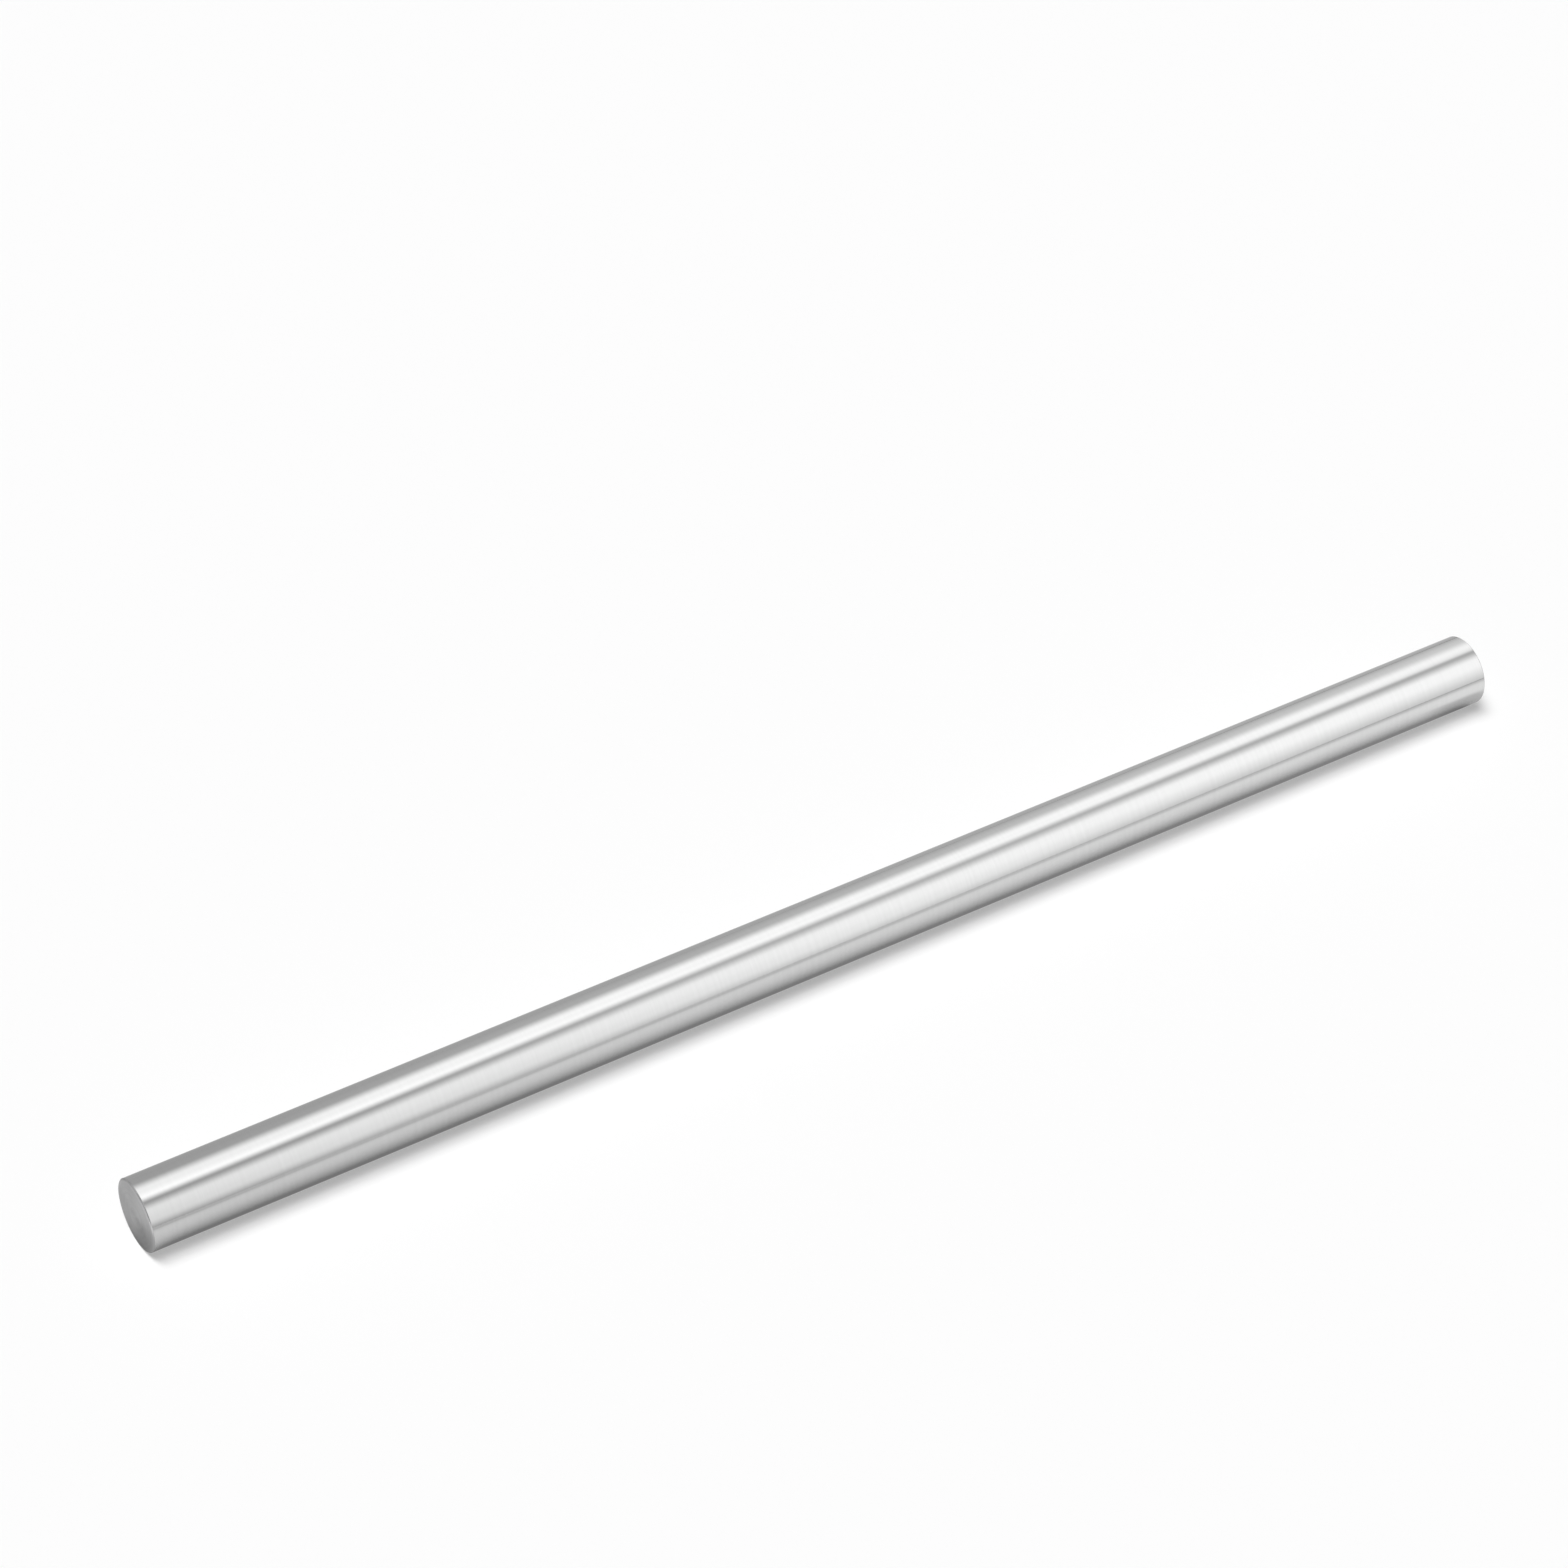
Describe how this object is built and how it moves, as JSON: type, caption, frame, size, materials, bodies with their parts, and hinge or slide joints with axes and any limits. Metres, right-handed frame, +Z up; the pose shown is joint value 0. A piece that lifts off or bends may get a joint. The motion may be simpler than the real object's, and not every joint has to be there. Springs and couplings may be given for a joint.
{
  "type": "linear shaft",
  "caption": "Precision linear shaft: a solid round bar of ground, hard-chromed steel with a small chamfer at each end, for linear bushings and shaft supports.",
  "frame": {"origin": "middle of the shaft, on its axis", "axes": "+X along the shaft's axis, +Z up as the shaft lies on a level floor"},
  "size_m": [0.25, 0.012, 0.012],
  "materials": {
    "hard_chrome": "ground and polished hard chrome on steel"
  },
  "bodies": {
    "root": {"shaft": "hard_chrome"}
  },
  "joints": []
}
